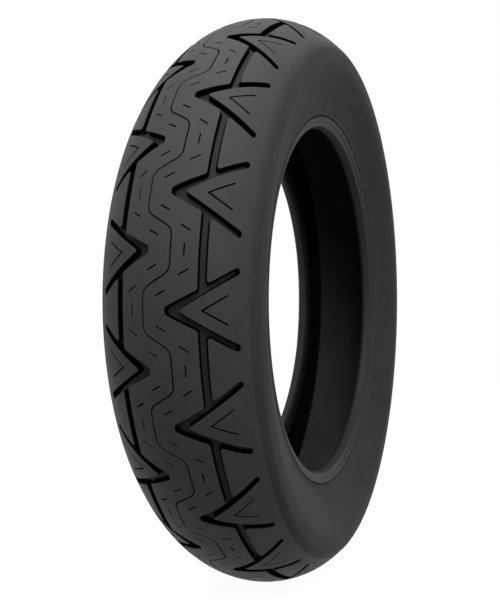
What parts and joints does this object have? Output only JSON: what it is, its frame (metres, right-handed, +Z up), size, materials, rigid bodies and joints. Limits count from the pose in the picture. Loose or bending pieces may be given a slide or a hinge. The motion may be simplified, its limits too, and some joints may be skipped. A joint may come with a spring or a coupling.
{
  "type": "motorcycle tire",
  "caption": "Tubeless motorcycle tire with a round crown, staggered chevron tread grooves joined by channels, smooth sidewalls and two wire beads.",
  "frame": {"origin": "wheel centre, midway between the two beads on the axle line", "axes": "+Y along the axle out of the left side, +Z up, +X forward"},
  "size_m": [0.646, 0.1534, 0.646],
  "materials": {
    "tread_rubber": "moulded matte black rubber with a soft sheen",
    "base_rubber": "plain black rubber, hidden inside",
    "sidewall_rubber": "smooth satin black rubber",
    "liner_rubber": "smooth airtight black rubber with bladder marks",
    "bead_rubber": "smooth hard black rubber",
    "filler_rubber": "hard black rubber, hidden inside",
    "nylon_cord": "rubber-coated nylon cord fabric",
    "aramid_cord": "rubber-coated aramid cord fabric",
    "chafer_fabric": "square-woven rubber-coated fabric",
    "wrap_fabric": "rubber-coated wrapping tape",
    "bead_wire": "bronze-coated steel wire bundle"
  },
  "bodies": {
    "root": {"tread_cap": "tread_rubber", "tread_base": "base_rubber", "breaker_outer": "aramid_cord", "breaker_inner": "aramid_cord", "shoulder_wedge_left": "base_rubber", "shoulder_wedge_right": "base_rubber", "carcass_ply_outer": "nylon_cord", "carcass_ply_inner": "nylon_cord", "inner_liner": "liner_rubber", "sidewall_left": "sidewall_rubber", "sidewall_right": "sidewall_rubber", "bead_core_left": "bead_wire", "bead_core_right": "bead_wire", "bead_wrap_left": "wrap_fabric", "bead_wrap_right": "wrap_fabric", "bead_filler_left": "filler_rubber", "bead_filler_right": "filler_rubber", "chafer_left": "chafer_fabric", "chafer_right": "chafer_fabric", "rim_cushion_left": "bead_rubber", "rim_cushion_right": "bead_rubber"}
  },
  "joints": []
}
